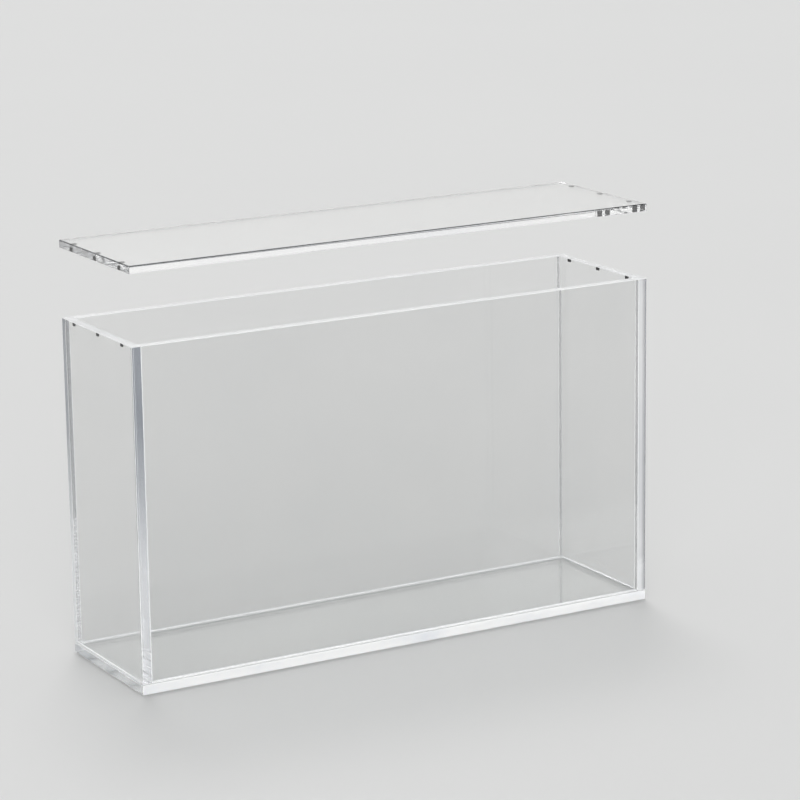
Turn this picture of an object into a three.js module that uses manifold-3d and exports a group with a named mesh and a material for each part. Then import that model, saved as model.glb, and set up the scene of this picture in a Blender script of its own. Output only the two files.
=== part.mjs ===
// Clear acrylic display case with a lift-off lid that small disc magnets hold shut.
// Millimetres, +Z up. The origin is at the middle of the base's underside, X runs along the
// length and the front faces -Y. The lid is shown lifted clear of the rim.

import * as THREE from 'three';
import { mergeVertices } from 'three/addons/utils/BufferGeometryUtils.js';
import Module from 'manifold-3d';

// Overall sizes of the case, without its lid
const caseLength = 300;
const caseDepth = 82;
const rimHeight = 177;

// Thicknesses of the sheets that it is cut from
const baseThickness = 5;
const longWallThickness = 5;
const endWallThickness = 5;
const lidThickness = 4;

// Height of the lid's underside above the rim, as shown
const lidLift = 36;

// Disc magnets: a row in the top edge of each end wall, and a matching row in the lid
const magnetDiameter = 3;
const magnetHeight = 2;
const magnetEndInset = 13;
const magnetSideClearance = 0.3;
const magnetRecess = 0.1;
const magnetSides = 32;

// Sizes that follow from the ones above
const wallHeight = rimHeight - baseThickness;
const longWallLength = caseLength - 2 * endWallThickness;
const longWallY = (caseDepth - longWallThickness) / 2;
const endWallX = (caseLength - endWallThickness) / 2;
const lidUnderside = rimHeight + lidLift;
const magnetRadius = magnetDiameter / 2;
const pocketRadius = magnetRadius + magnetSideClearance;
const pocketDepth = magnetHeight + magnetRecess;
const outerMagnetY = caseDepth / 2 - magnetEndInset;

const ends = [
  { name: 'left', x: -endWallX },
  { name: 'right', x: endWallX },
];
const magnetRow = [
  { name: 'front', y: -outerMagnetY },
  { name: 'middle', y: 0 },
  { name: 'back', y: outerMagnetY },
];

const clearAcrylic = new THREE.MeshStandardMaterial({
  color: 0xeef3f3,
  roughness: 0.04,
  metalness: 0,
  transparent: true,
  opacity: 0.3,
});
const darkNickel = new THREE.MeshStandardMaterial({ color: 0x2b2c2f, roughness: 0.35, metalness: 1 });

const wasm = await Module();
wasm.setup();

// A closed geometry as a solid that can be cut
function toSolid(geometry) {
  const bare = geometry.clone();
  bare.deleteAttribute('normal');
  bare.deleteAttribute('uv');
  const merged = mergeVertices(bare);
  return new wasm.Manifold(new wasm.Mesh({
    numProp: 3,
    vertProperties: new Float32Array(merged.attributes.position.array),
    triVerts: new Uint32Array(merged.index.array),
  }));
}

// A cut solid as a geometry again
function toGeometry(solid) {
  const mesh = solid.getMesh();
  const geometry = new THREE.BufferGeometry();
  geometry.setAttribute('position', new THREE.BufferAttribute(new Float32Array(mesh.vertProperties), 3));
  geometry.setIndex(new THREE.BufferAttribute(new Uint32Array(mesh.triVerts), 1));
  geometry.computeVertexNormals();
  return geometry;
}

// An upright disc between two heights
function disc(radius, x, y, low, high) {
  const geometry = new THREE.CylinderGeometry(radius, radius, high - low, magnetSides);
  geometry.rotateX(Math.PI / 2);
  geometry.translate(x, y, (low + high) / 2);
  return geometry;
}

// A flat sheet with its lowest face at z = 0
function sheet(width, depth, height) {
  const geometry = new THREE.BoxGeometry(width, depth, height);
  geometry.translate(0, 0, height / 2);
  return geometry;
}

function addPiece(parent, name, geometry, material) {
  const mesh = new THREE.Mesh(geometry, material.clone());
  mesh.name = name;
  parent.add(mesh);
  return mesh;
}

// An end wall, with a blind pocket in its top edge for each magnet of its row
function endWall() {
  let solid = toSolid(sheet(endWallThickness, caseDepth, wallHeight));
  for (const { y } of magnetRow) {
    const pocket = disc(pocketRadius, 0, y, wallHeight - pocketDepth, wallHeight + pocketDepth);
    solid = solid.subtract(toSolid(pocket));
  }
  return toGeometry(solid);
}

// The lid, with a row of blind pockets in its underside above each end wall
function lidSheet() {
  let solid = toSolid(sheet(caseLength, caseDepth, lidThickness));
  for (const { x } of ends) {
    for (const { y } of magnetRow) {
      solid = solid.subtract(toSolid(disc(pocketRadius, x, y, -pocketDepth, pocketDepth)));
    }
  }
  return toGeometry(solid);
}

const displayCase = new THREE.Group();

// The base, and the walls that stand on it: the long walls fit between the end walls
addPiece(displayCase, 'base_plate', sheet(caseLength, caseDepth, baseThickness), clearAcrylic);

const walls = new THREE.Group();
walls.position.z = baseThickness;
displayCase.add(walls);

for (const [name, y] of [['front_wall', -longWallY], ['back_wall', longWallY]]) {
  const wall = addPiece(walls, name, sheet(longWallLength, longWallThickness, wallHeight), clearAcrylic);
  wall.position.y = y;
}

for (const end of ends) {
  const wall = addPiece(walls, `${end.name}_end_wall`, endWall(), clearAcrylic);
  wall.position.x = end.x;
  const pocketFloor = wallHeight - pocketDepth;
  for (const { name, y } of magnetRow) {
    const magnet = disc(magnetRadius, end.x, y, pocketFloor, pocketFloor + magnetHeight);
    addPiece(walls, `case_magnet_${end.name}_${name}`, magnet, darkNickel);
  }
}

// The lid and the magnets in its underside
const lid = new THREE.Group();
lid.position.z = lidUnderside;
displayCase.add(lid);

addPiece(lid, 'lid_panel', lidSheet(), clearAcrylic);

for (const end of ends) {
  for (const { name, y } of magnetRow) {
    const magnet = disc(magnetRadius, end.x, y, magnetRecess, pocketDepth);
    addPiece(lid, `lid_magnet_${end.name}_${name}`, magnet, darkNickel);
  }
}

export default displayCase;
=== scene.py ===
import bpy
import bmesh
import math
from mathutils import Matrix, Vector


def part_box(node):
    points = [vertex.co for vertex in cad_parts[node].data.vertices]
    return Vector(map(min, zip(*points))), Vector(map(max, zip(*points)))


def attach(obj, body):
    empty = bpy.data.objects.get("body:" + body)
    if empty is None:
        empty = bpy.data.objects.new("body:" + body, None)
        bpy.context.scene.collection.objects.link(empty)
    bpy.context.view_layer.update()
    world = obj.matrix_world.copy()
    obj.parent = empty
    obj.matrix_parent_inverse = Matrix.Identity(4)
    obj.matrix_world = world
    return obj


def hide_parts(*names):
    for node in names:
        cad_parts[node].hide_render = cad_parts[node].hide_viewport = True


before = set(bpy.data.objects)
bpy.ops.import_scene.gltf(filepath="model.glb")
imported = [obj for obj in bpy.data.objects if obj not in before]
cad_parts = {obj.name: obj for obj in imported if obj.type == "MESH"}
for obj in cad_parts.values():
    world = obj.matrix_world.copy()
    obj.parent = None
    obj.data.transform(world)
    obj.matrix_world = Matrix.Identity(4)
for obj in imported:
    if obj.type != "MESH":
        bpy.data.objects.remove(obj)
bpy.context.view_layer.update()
scene = bpy.context.scene
scene.view_settings.view_transform = "Standard"
print("frame loaded:", len(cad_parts), "nodes")

mm = 0.001
acrylicIor = 1.49
bounces = 96  # light runs far along the inside of a sheet
filmBounces = 64  # and lamps cross many faces

scene.cycles.max_bounces = bounces
scene.cycles.transmission_bounces = bounces
scene.cycles.glossy_bounces = bounces
scene.cycles.transparent_max_bounces = filmBounces


# Shader helpers

class Wire:
    def __init__(self, tree, socket):
        self.tree = tree
        self.socket = socket

    def combine(self, operation, first, second):
        node = self.tree.nodes.new("ShaderNodeMath")
        node.operation = operation
        for place, value in zip(node.inputs, (first, second)):
            plug(self.tree, place, value)
        return Wire(self.tree, node.outputs[0])

    def __add__(self, other):
        return self.combine("ADD", self, other)

    def __radd__(self, other):
        return self.combine("ADD", other, self)

    def __sub__(self, other):
        return self.combine("SUBTRACT", self, other)

    def __rsub__(self, other):
        return self.combine("SUBTRACT", other, self)

    def __mul__(self, other):
        return self.combine("MULTIPLY", self, other)

    def __rmul__(self, other):
        return self.combine("MULTIPLY", other, self)


def plug(tree, place, value):
    if isinstance(value, Wire):
        tree.links.new(value.socket, place)
    elif isinstance(value, (tuple, list)) and place.type == "RGBA":
        place.default_value = (*value, 1.0)
    else:
        place.default_value = value


class Finish:
    def __init__(self, name, tree=None):
        if tree is None:
            self.material = bpy.data.materials.new(name)
            self.material.use_nodes = True
            tree = self.material.node_tree
        self.tree = tree
        self.tree.nodes.clear()

    def node(self, kind, settings, sockets):
        made = self.tree.nodes.new(kind)
        for key, value in settings.items():
            setattr(made, key, value)
        for key, value in sockets.items():
            plug(self.tree, made.inputs[key], value)
        return made

    def out(self, made, name):
        return Wire(self.tree, made.outputs[name])

    def objectPlace(self):
        return self.out(self.node("ShaderNodeTexCoord", {}, {}), "Object")

    def noise(self, place, scale, detail):
        made = self.node("ShaderNodeTexNoise", {}, {"Vector": place, "Scale": scale, "Detail": detail})
        return self.out(made, "Fac")

    def stretch(self, place, cell, turn=(0.0, 0.0, 0.0)):  # the size of a pattern's cell, and its turn
        made = self.node("ShaderNodeMapping", {"vector_type": "TEXTURE"}, {
            "Vector": place, "Rotation": turn, "Scale": cell,
        })
        return self.out(made, "Vector")

    def remap(self, value, low, high, first=0.0, second=1.0, ease="LINEAR"):
        made = self.node("ShaderNodeMapRange", {"interpolation_type": ease}, {
            "Value": value, "From Min": low, "From Max": high, "To Min": first, "To Max": second,
        })
        return self.out(made, "Result")

    def wave(self, value):
        return self.out(self.node("ShaderNodeMath", {"operation": "SINE"}, {0: value}), "Value")

    def blend(self, share, first, second):
        made = self.node("ShaderNodeMix", {"data_type": "RGBA"}, {0: share, 6: first, 7: second})
        return Wire(self.tree, made.outputs[2])

    def bump(self, height, depth):
        made = self.node("ShaderNodeBump", {}, {"Height": height, "Strength": 1.0, "Distance": depth})
        return self.out(made, "Normal")

    def principled(self, sockets):
        return self.out(self.node("ShaderNodeBsdfPrincipled", {}, sockets), "BSDF")

    def surface(self, shader):
        self.node("ShaderNodeOutputMaterial", {}, {"Surface": shader})
        return self.material


def letLampsThrough(finish, shader, shade):  # lamps and bounced light cross the sheet unbent
    path = finish.node("ShaderNodeLightPath", {}, {})
    film = finish.out(finish.node("ShaderNodeBsdfTransparent", {}, {"Color": shade}), "BSDF")
    for ray in ("Is Shadow Ray", "Is Diffuse Ray"):
        mix = finish.node("ShaderNodeMixShader", {}, {0: finish.out(path, ray), 1: shader, 2: film})
        shader = finish.out(mix, "Shader")
    return shader


# Clear sheet: the broad faces of every panel, with the hairlines and faint smears of a wiped surface

clearSheet = {
    "tint": (0.93, 0.932, 0.93),
    "smear": (0.915, 0.919, 0.919),
    "smearSize": 60 * mm,
    "smearDetail": 3.0,
    "smearSpan": (0.35, 0.65),  # part of the noise that the change runs over
    "hairline": (45 * mm, 0.12 * mm, 0.12 * mm),  # length and breadths of one hairline
    "hairlineTurn": (math.radians(38), math.radians(22), math.radians(51)),
    "hairlineSpan": (0.7, 0.8),
    "hairlineRough": 0.09,
    "shade": (0.9, 0.905, 0.905),  # share of a lamp's light that gets through each face
}


def makeClearSheet():
    look = Finish("clear_acrylic_sheet")
    place = look.objectPlace()
    combed = look.stretch(place, clearSheet["hairline"], clearSheet["hairlineTurn"])
    hairline = look.noise(combed, 1.0, 0.0)
    smear = look.noise(place, 1 / clearSheet["smearSize"], clearSheet["smearDetail"])
    smeared = look.remap(smear, *clearSheet["smearSpan"])
    glass = look.principled({
        "Base Color": look.blend(smeared, clearSheet["tint"], clearSheet["smear"]),
        "Roughness": look.remap(hairline, *clearSheet["hairlineSpan"], 0.0, clearSheet["hairlineRough"]),
        "IOR": acrylicIor,
        "Transmission Weight": 1.0,
    })
    return look.surface(letLampsThrough(look, glass, clearSheet["shade"]))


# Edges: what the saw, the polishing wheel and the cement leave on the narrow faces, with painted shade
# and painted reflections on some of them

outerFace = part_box("right_end_wall")[1].x  # the right end of the case

edges = {  # each finish has its share of clear acrylic, two colours, and its least and most roughness
    "shade": (0.5, 0.505, 0.51),
    "patchSize": 22 * mm,  # breadth of a paler or cooler patch
    "patchLength": 60 * mm,
    "patchDetail": 3.0,
    "patchSpan": (0.45, 0.7),  # part of the noise that the change runs over
    "streakSize": 0.5 * mm,  # spacing of the polishing lines across the edge
    "streakLength": 150 * mm,
    "streakDetail": 2.0,
    "streakSpan": (0.35, 0.75),
    "lidEdge": {
        "clear": 0.9, "pale": (0.99, 0.992, 0.992), "cool": (0.95, 0.957, 0.97),
        "smooth": 0.0, "hazy": 0.008,
    },
    "lidEnd": {
        "clear": 1.0, "pale": (0.97, 0.975, 0.98), "cool": (0.92, 0.93, 0.945),
        "smooth": 0.0, "hazy": 0.004, "ior": 1.595,  # tuned, for a pale front half of the left end
    },
    # painted shade: the lid's bevels are painted near black, for a dark line along the lid's edges
    "lidArrisPaintedShade": {
        "clear": 0.85, "pale": (0.13, 0.135, 0.145), "cool": (0.08, 0.085, 0.095),
        "smooth": 0.0, "hazy": 0.05,
    },
    "rim": {
        "clear": 0.3, "pale": (0.97, 0.975, 0.98), "cool": (0.92, 0.93, 0.94),
        "smooth": 0.12, "hazy": 0.3,
    },
    # painted reflection: the left end wall's front edge is painted blue-grey, a darker copy of the right
    # end wall's edge
    "frontEdgePaintedReflection": {
        "clear": 0.8, "pale": (0.50, 0.525, 0.56), "cool": (0.38, 0.405, 0.445),
        "smooth": 0.0, "hazy": 0.05,
        "paintedLightAndShadeFade": ("Z", 145 * mm, 60 * mm, (0.76, 0.77, 0.785)),  # painted reflection, paler towards the foot: axis, start, end and the colour there
    },
    # painted reflection: the left end wall's back edge is painted dark blue-grey, paler towards the foot
    "backEdgePaintedReflection": {
        "clear": 0.15, "pale": (0.31, 0.325, 0.355), "cool": (0.24, 0.255, 0.285),
        "smooth": 0.0, "hazy": 0.05,
        "paintedLightAndShadeFade": ("Z", 125 * mm, 50 * mm, (0.74, 0.75, 0.765)),
    },
    # painted light and shade: the right end wall's edges are a paler copy of the left wall's front edge,
    # with painted shade over the outer 3 mm
    "paleEdgePaintedLightAndShade": {
        "clear": 0.6, "pale": (0.98, 0.98, 0.985), "cool": (0.88, 0.89, 0.91),
        "smooth": 0.0, "hazy": 0.05,
        "paintedLightAndShadeFade": ("X", outerFace - 3 * mm, outerFace, (0.16, 0.165, 0.185)),
    },
    "baseFront": {
        "clear": 0.4, "pale": (0.99, 0.99, 0.99), "cool": (0.84, 0.86, 0.90),
        "smooth": 0.03, "hazy": 0.12,
    },
    "baseEnd": {
        "clear": 1.0, "pale": (0.985, 0.99, 0.99), "cool": (0.95, 0.955, 0.965),
        "smooth": 0.0, "hazy": 0.004,
    },
    "arris": {
        "clear": 0.25, "pale": (0.98, 0.985, 0.99), "cool": (0.92, 0.93, 0.95),
        "smooth": 0.16, "hazy": 0.26,
    },
    # painted shade: the joints at the right ends of the long walls are painted grey, while the same
    # joints at their left ends are pale
    "rightJointPaintedShade": {
        "clear": 0.55, "pale": (0.36, 0.37, 0.39), "cool": (0.28, 0.29, 0.31),
        "smooth": 0.0, "hazy": 0.04,
    },
    "joint": {
        "clear": 1.0, "pale": (0.98, 0.985, 0.985), "cool": (0.94, 0.95, 0.95),
        "smooth": 0.0, "hazy": 0.04,
    },
}
edgeFinishes = {}


def edgeFinish(kind, along):  # one material for each kind of edge and each direction that it runs in
    if (kind, along) in edgeFinishes:
        return edgeFinishes[kind, along]
    edge = edges[kind]
    look = Finish(kind + "_along_" + "xyz"[along])
    place = look.objectPlace()
    streakCell = [edges["streakSize"]] * 3
    streakCell[along] = edges["streakLength"]
    patchCell = [edges["patchSize"]] * 3
    patchCell[along] = edges["patchLength"]
    streak = look.noise(look.stretch(place, streakCell), 1.0, edges["streakDetail"])
    patch = look.noise(look.stretch(place, patchCell), 1.0, edges["patchDetail"])
    coolness = look.remap(patch, *edges["patchSpan"], ease="SMOOTHSTEP")
    colour = look.blend(coolness, edge["pale"], edge["cool"])
    # painted light and shade: some edges fade to another colour along one axis
    if "paintedLightAndShadeFade" in edge:
        axis, start, stop, paintedFadeColour = edge["paintedLightAndShadeFade"]
        reach = look.out(look.node("ShaderNodeSeparateXYZ", {}, {0: place}), axis)
        colour = look.blend(look.remap(reach, start, stop), colour, paintedFadeColour)
    acrylic = look.principled({
        "Base Color": colour,
        "Roughness": look.remap(streak, *edges["streakSpan"], edge["smooth"], edge["hazy"]),
        "IOR": edge.get("ior", acrylicIor),
        "Transmission Weight": edge["clear"],
    })
    edgeFinishes[kind, along] = look.surface(letLampsThrough(look, acrylic, edges["shade"]))
    return edgeFinishes[kind, along]


# Magnet plating: dark nickel with turned rings, rubbed bright round the rim

magnetPlate = {
    "map": "turned",  # runs from -1 to 1 over a disc's face, with its middle at 0
    "sideReach": 0.6,  # where the disc's side lies on that map, inside the rubbed rim
    "dark": (0.02, 0.02, 0.022),
    "worn": (0.17, 0.165, 0.16),
    "wornFrom": 0.9,  # share of the radius
    "wornTo": 1.06,
    "speckSize": 0.3 * mm,
    "speckDetail": 3.0,
    "speckWear": 0.2,  # how far the specks fray the worn rim
    "rings": 14,
    "ringDepth": 0.004 * mm,
    "ringDull": 0.15,  # how much the rings count in the roughness, beside the specks
    "dullSpan": (0.25, 0.8),
    "satin": 0.3,
    "dull": 0.46,
}


def makeMagnetPlate():
    look = Finish("dark_nickel_plate")
    turned = look.out(look.node("ShaderNodeUVMap", {"uv_map": magnetPlate["map"]}, {}), "UV")
    reach = look.out(look.node("ShaderNodeVectorMath", {"operation": "LENGTH"}, {0: turned}), "Value")
    ring = look.wave(reach * (2 * math.pi * magnetPlate["rings"]))
    speck = look.noise(look.objectPlace(), 1 / magnetPlate["speckSize"], magnetPlate["speckDetail"])
    frayed = reach + magnetPlate["speckWear"] * (speck - 0.5)
    wear = look.remap(frayed, magnetPlate["wornFrom"], magnetPlate["wornTo"])
    dulled = speck + magnetPlate["ringDull"] * ring
    roughness = look.remap(dulled, *magnetPlate["dullSpan"], magnetPlate["satin"], magnetPlate["dull"])
    plate = look.principled({
        "Base Color": look.blend(wear, magnetPlate["dark"], magnetPlate["worn"]),
        "Metallic": 1.0,
        "Roughness": roughness,
        "Normal": look.bump(ring, magnetPlate["ringDepth"]),
    })
    return look.surface(plate)


sheetFinish = makeClearSheet()
magnetFinish = makeMagnetPlate()
print("materials made")


# Panels: bevelled sheets cut to the frame's own boxes

panels = {
    "rimBevel": 0.25 * mm,
    "footBevel": 0.7 * mm,  # the cement runs into this one and shows as a white line
    "cornerBevel": {0: 0.15 * mm, 1: 0.2 * mm},  # upright edges, by the wall's thin axis
    "lidBevel": 0.5 * mm,  # of the lid's top edges
    "lidEase": 0.2 * mm,  # of its other edges
    "bevelSegments": 3,
    "bondFilm": 0.03 * mm,  # half the film of cement between two sheets
    "flat": 0.99,  # a face or an edge lies along an axis when its direction's share on it is over this
    "tilt": 0.1,  # and leans towards it over this
    "sharp": math.radians(80),  # faces that meet at more than this have their edge rounded off
    "sides": (("left", "right"), ("front", "back"), ("down", "up")),  # names of the directions, by axis
    "sheets": {  # thin axis, body, the finish of the bevels, and of the narrow faces by direction
        "base_plate": {"thin": 2, "body": "case", "bevel": "arris", "x": "baseEnd", "y": "baseFront"},
        "front_wall": {
            "thin": 1, "body": "case", "bevel": "arris",
            "left": "joint", "right": "rightJointPaintedShade", "up": "rim", "down": "joint",
        },
        "back_wall": {
            "thin": 1, "body": "case", "bevel": "arris",
            "left": "joint", "right": "rightJointPaintedShade", "up": "rim", "down": "joint",
        },
        "left_end_wall": {
            "thin": 0, "body": "case", "bevel": "arris",
            "front": "frontEdgePaintedReflection", "back": "backEdgePaintedReflection", "up": "rim", "down": "joint",
        },
        "right_end_wall": {
            "thin": 0, "body": "case", "bevel": "arris",
            "y": "paleEdgePaintedLightAndShade", "up": "rim", "down": "joint",
        },
        "lid_panel": {
            "thin": 2, "body": "lid", "bevel": "lidArrisPaintedShade",
            "lowFront": "lidEdge",  # for the bevel that faces down and to the front, which stays pale while the other lid bevels carry the painted shade
            "x": "lidEnd", "y": "lidEdge",
        },
    },
}


def finishMesh(name, mesh, body, node):
    piece = bpy.data.objects.new(name, mesh)
    scene.collection.objects.link(piece)
    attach(piece, body)
    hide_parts(node)


def slotOf(mesh, material):
    if material.name not in mesh.materials:
        mesh.materials.append(material)
    return mesh.materials.find(material.name)


def faceFinish(normal, sheet):
    axes = sorted(range(3), key=lambda axis: abs(normal[axis]))
    facing = axes[2]
    if abs(normal[facing]) < panels["flat"]:
        lowFront = normal.y < -panels["tilt"] and normal.z < -panels["tilt"]
        bevel = "lowFront" if lowFront and "lowFront" in sheet else "bevel"
        return edgeFinish(sheet[bevel], axes[0])
    if facing == sheet["thin"]:
        return sheetFinish
    side = panels["sides"][facing][normal[facing] > 0]
    kind = sheet[side] if side in sheet else sheet["xy"[facing]]
    return edgeFinish(kind, 3 - sheet["thin"] - facing)


def roundOff(work, chosen, size):
    bmesh.ops.bevel(
        work, geom=chosen, offset=size, offset_type="OFFSET", affect="EDGES",
        segments=panels["bevelSegments"], profile=0.5, material=-1,
    )


def sharpEdges(work):
    return [edge for edge in work.edges if edge.calc_face_angle(0) > panels["sharp"]]


def uprightEdges(work):
    def rise(edge):
        return abs((edge.verts[1].co - edge.verts[0].co).normalized().z)

    return [edge for edge in sharpEdges(work) if rise(edge) > panels["flat"]]


def panelMesh(node, sheet):
    low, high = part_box(node)
    film = Vector((panels["bondFilm"],) * 3)
    low = low + film
    high = high - film
    work = bmesh.new()
    bmesh.ops.create_cube(work, size=1.0)
    bmesh.ops.scale(work, vec=high - low, verts=work.verts)
    bmesh.ops.translate(work, vec=(high + low) / 2, verts=work.verts)
    middle = (low.z + high.z) / 2
    if node.endswith("_wall"):
        feet = [edge for edge in work.edges if all(vert.co.z < middle for vert in edge.verts)]
        roundOff(work, feet, panels["footBevel"])
        roundOff(work, uprightEdges(work), panels["cornerBevel"][sheet["thin"]])
    if node == "lid_panel":
        tops = [edge for edge in work.edges if all(vert.co.z > middle for vert in edge.verts)]
        roundOff(work, tops, panels["lidBevel"])
    roundOff(work, sharpEdges(work), panels["lidEase" if node == "lid_panel" else "rimBevel"])
    mesh = bpy.data.meshes.new(node + "_sheet")
    for face in work.faces:
        face.material_index = slotOf(mesh, faceFinish(face.normal, sheet))
    work.to_mesh(mesh)
    work.free()
    return mesh


for node, sheet in panels["sheets"].items():
    finishMesh(node + "_sheet", panelMesh(node, sheet), sheet["body"], node)
print("panels made:", len(panels["sheets"]))


# Magnets: turned discs, set just under the sheets' faces in clear resin

magnets = {
    "bevel": 0.18 * mm,
    "sides": 48,
}


def magnetMesh(node):
    low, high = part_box(node)
    centre = (low + high) / 2
    radius = (high.x - low.x) / 2
    work = bmesh.new()
    bmesh.ops.create_cone(
        work, cap_ends=True, segments=magnets["sides"],
        radius1=radius, radius2=radius, depth=high.z - low.z,
    )
    bmesh.ops.translate(work, vec=centre, verts=work.verts)
    roundOff(work, sharpEdges(work), magnets["bevel"])
    turned = work.loops.layers.uv.new(magnetPlate["map"])
    for face in work.faces:
        face.smooth = len(face.verts) == 4
        reach = magnetPlate["sideReach"] if abs(face.normal.z) < panels["tilt"] else 1.0
        for loop in face.loops:
            offset = (loop.vert.co - centre) * (reach / radius)
            loop[turned].uv = offset.xy
    mesh = bpy.data.meshes.new(node + "_disc")
    mesh.materials.append(magnetFinish)
    work.to_mesh(mesh)
    work.free()
    return mesh


for body in ("case", "lid"):
    for node in sorted(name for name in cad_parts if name.startswith(body + "_magnet_")):
        finishMesh(node + "_disc", magnetMesh(node), body, node)
print("magnets made")


# Camera, at the photograph's place

shot = {
    "place": (-0.781, -1.4054, 0.5139),
    "azimuth": math.radians(-29.753),
    "elevation": math.radians(13.694),
    "roll": math.radians(-0.823),
    "lens": 143.1,
    "sensor": 36.0,
}


def placeCamera():
    azimuth, elevation = shot["azimuth"], shot["elevation"]
    back = Vector((
        math.sin(azimuth) * math.cos(elevation),
        -math.cos(azimuth) * math.cos(elevation),
        math.sin(elevation),
    ))
    lens = bpy.data.cameras.new("camera")
    lens.lens = shot["lens"]
    lens.sensor_width = shot["sensor"]
    camera = bpy.data.objects.new("camera", lens)
    scene.collection.objects.link(camera)
    camera.rotation_mode = "QUATERNION"
    turn = back.to_track_quat("Z", "Y").to_matrix() @ Matrix.Rotation(shot["roll"], 3, "Z")
    camera.rotation_quaternion = turn.to_quaternion()
    camera.location = shot["place"]
    scene.camera = camera


placeCamera()
print("camera placed")


# Floor, world and lamps

studio = {
    "floorRadius": 12.0,
    "floorSides": 96,
    "floorDrop": 0.2 * mm,  # keeps the floor clear of the base
    "floorColour": (0.69, 0.69, 0.685),
    "floorCloud": (0.675, 0.675, 0.67),
    "cloudSize": 0.4,
    "cloudDetail": 4.0,
    "floorRough": 0.7,
    "horizon": (0.71, 0.71, 0.705),
    "frontHorizon": (0.6, 0.6, 0.6),
    "backWall": (0.97, 0.97, 0.96),
    "frontWall": (0.72, 0.72, 0.72),
    "card": (0.26, 0.265, 0.275),  # a soft dark card at the front, mirrored inside the lid's left end
    "cardPlace": (0.484, -0.847, 0.22),  # its direction
    "cardEdge": (0.951, 0.978),  # cosines of the angles from there at which it starts and is full
    "ceiling": (0.24, 0.245, 0.25),
    "frontToBack": (-0.7, 0.3),  # where the front of the room turns into its back
    "frontRise": (0.2, 0.32),  # and where each part of the room starts and ends, by height
    "backRise": (0.12, 0.25),
    "overhead": (0.45, 0.65),
    "lamps": (  # direction that each lamp shines from, its spread in degrees and its strength
        ("key", (0.35, 0.9, 1.5), 22.0, 1.3),
        ("fill", (-0.5, -1.0, 0.42), 40.0, 2.2),
    ),
}


def makeFloor():
    work = bmesh.new()
    bmesh.ops.create_circle(
        work, cap_ends=True, segments=studio["floorSides"], radius=studio["floorRadius"],
    )
    bmesh.ops.translate(work, vec=(0, 0, -studio["floorDrop"]), verts=work.verts)
    mesh = bpy.data.meshes.new("floor")
    work.to_mesh(mesh)
    work.free()
    floor = bpy.data.objects.new("floor", mesh)
    scene.collection.objects.link(floor)
    look = Finish("pale_floor")
    cloud = look.noise(look.objectPlace(), 1 / studio["cloudSize"], studio["cloudDetail"])
    mesh.materials.append(look.surface(look.principled({
        "Base Color": look.blend(cloud, studio["floorColour"], studio["floorCloud"]),
        "Roughness": studio["floorRough"],
    })))


def makeWorld():
    world = bpy.data.worlds.new("studio")
    scene.world = world
    world.use_nodes = True
    sky = Finish("", world.node_tree)
    way = sky.out(sky.node("ShaderNodeTexCoord", {}, {}), "Generated")
    split = sky.node("ShaderNodeSeparateXYZ", {}, {0: way})
    height = sky.out(split, "Z")

    def rise(limits, low, high):
        return sky.blend(sky.remap(height, *limits, ease="SMOOTHSTEP"), low, high)

    ahead = rise(studio["frontRise"], studio["frontHorizon"], studio["frontWall"])
    behind = rise(studio["backRise"], studio["horizon"], studio["backWall"])
    backwards = sky.remap(sky.out(split, "Y"), *studio["frontToBack"], ease="SMOOTHSTEP")
    walls = sky.blend(backwards, ahead, behind)
    near = sky.node("ShaderNodeVectorMath", {"operation": "DOT_PRODUCT"}, {
        0: way, 1: studio["cardPlace"],
    })
    carded = sky.remap(sky.out(near, "Value"), *studio["cardEdge"], ease="SMOOTHSTEP")
    walls = sky.blend(carded, walls, studio["card"])
    seen = rise(studio["overhead"], walls, studio["ceiling"])
    light = sky.node("ShaderNodeBackground", {}, {"Color": seen, "Strength": 1.0})
    sky.node("ShaderNodeOutputWorld", {}, {"Surface": sky.out(light, "Background")})


def makeLamps():
    for name, place, spread, strength in studio["lamps"]:
        lamp = bpy.data.lights.new(name, "SUN")
        lamp.angle = math.radians(spread)
        lamp.energy = strength
        holder = bpy.data.objects.new(name, lamp)
        scene.collection.objects.link(holder)
        holder.rotation_mode = "QUATERNION"
        holder.rotation_quaternion = Vector(place).to_track_quat("Z", "Y")


makeFloor()
makeWorld()
makeLamps()
print("studio made")
